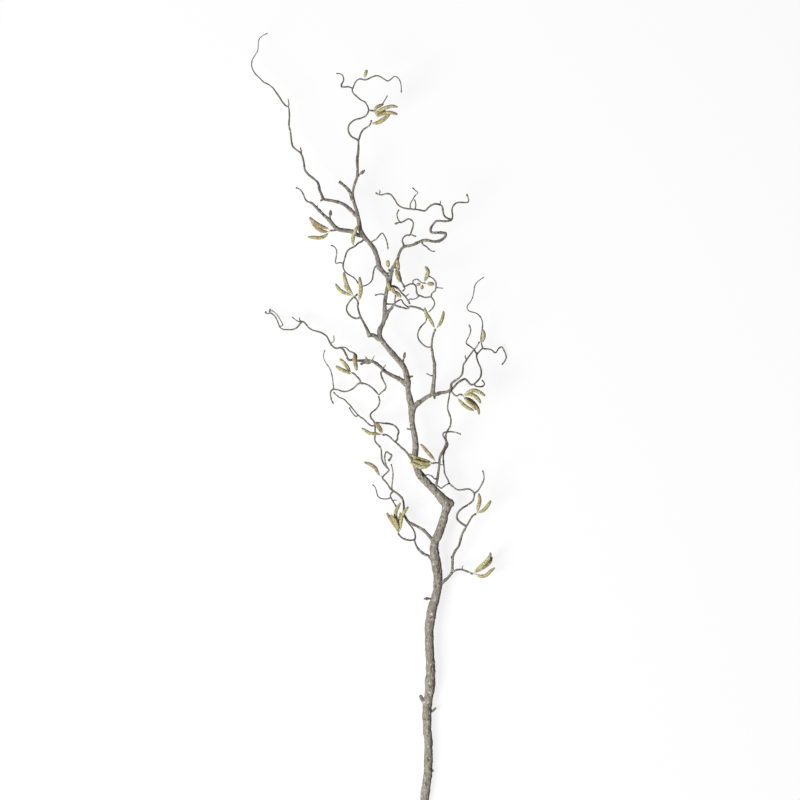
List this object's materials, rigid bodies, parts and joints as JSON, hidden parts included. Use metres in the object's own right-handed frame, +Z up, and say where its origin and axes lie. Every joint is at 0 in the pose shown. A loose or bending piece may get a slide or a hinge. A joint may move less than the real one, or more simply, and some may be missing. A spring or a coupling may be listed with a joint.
{
  "type": "twisted willow twig with catkins",
  "caption": "Cut twig of a contorted shrub with a crooked stem, curling side twigs and drooping catkins, lying on a flat surface.",
  "frame": {"origin": "middle of the bottom of the bounding box, on the surface that the twig lies on", "axes": "+Y along the twig from the cut end to the tip, +X to the right of it seen from above, +Z up from the surface"},
  "size_m": [0.383, 1.1656, 0.1217],
  "materials": {
    "bark": "rough matt bark, taupe grey with fine pale and dark speckle",
    "catkin_green": "matt, slightly furry overlapping scales, olive yellow-green",
    "catkin_tan": "matt, slightly furry overlapping scales, tan to brown",
    "bud": "satin overlapping bud scales, brown"
  },
  "bodies": {
    "root": {"wood": "bark", "catkin_low_right_1": "catkin_green", "catkin_low_right_2": "catkin_green", "catkin_low_right_3": "catkin_green", "catkin_right_fork_1": "catkin_green", "catkin_right_fork_2": "catkin_green", "catkin_low_left_1": "catkin_tan", "catkin_low_left_2": "catkin_green", "catkin_low_left_3": "catkin_green", "catkin_low_left_4": "catkin_green", "catkin_low_left_5": "catkin_tan", "catkin_left_climber_1": "catkin_tan", "catkin_knee_1": "catkin_tan", "catkin_knee_2": "catkin_green", "catkin_knee_3": "catkin_green", "catkin_knee_4": "catkin_green", "catkin_mid_left_1": "catkin_green", "catkin_mid_left_2": "catkin_tan", "catkin_right_branch_1": "catkin_green", "catkin_right_branch_2": "catkin_green", "catkin_right_branch_3": "catkin_tan", "catkin_right_branch_4": "catkin_green", "catkin_right_branch_5": "catkin_green", "catkin_hanging_1": "catkin_green", "catkin_hanging_2": "catkin_green", "catkin_left_branch_1": "catkin_tan", "catkin_riser_1": "catkin_green", "catkin_riser_2": "catkin_green", "catkin_right_high_1": "catkin_green", "catkin_upper_left_1": "catkin_green", "catkin_upper_left_2": "catkin_green", "catkin_upper_left_3": "catkin_green", "catkin_upper_left_4": "catkin_tan", "catkin_inner_1": "catkin_tan", "catkin_inner_2": "catkin_green", "catkin_inner_3": "catkin_tan", "catkin_inner_bow_1": "catkin_green", "catkin_inner_bow_2": "catkin_green", "catkin_upper_right_1": "catkin_green", "catkin_arch_1": "catkin_green", "catkin_arch_2": "catkin_tan", "catkin_arch_3": "catkin_tan", "catkin_arch_4": "catkin_green", "catkin_top_cross_1": "catkin_green", "catkin_top_left_1": "catkin_tan", "catkin_top_left_2": "catkin_tan", "catkin_top_left_3": "catkin_green", "catkin_top_1": "catkin_green", "catkin_top_2": "catkin_tan", "catkin_top_3": "catkin_green", "catkin_top_4": "catkin_tan", "catkin_top_right_1": "catkin_green", "catkin_crown_1": "catkin_green", "bud_1": "bud", "bud_2": "bud", "bud_3": "bud", "bud_4": "bud", "bud_5": "bud", "bud_6": "bud", "bud_7": "bud"}
  },
  "joints": []
}
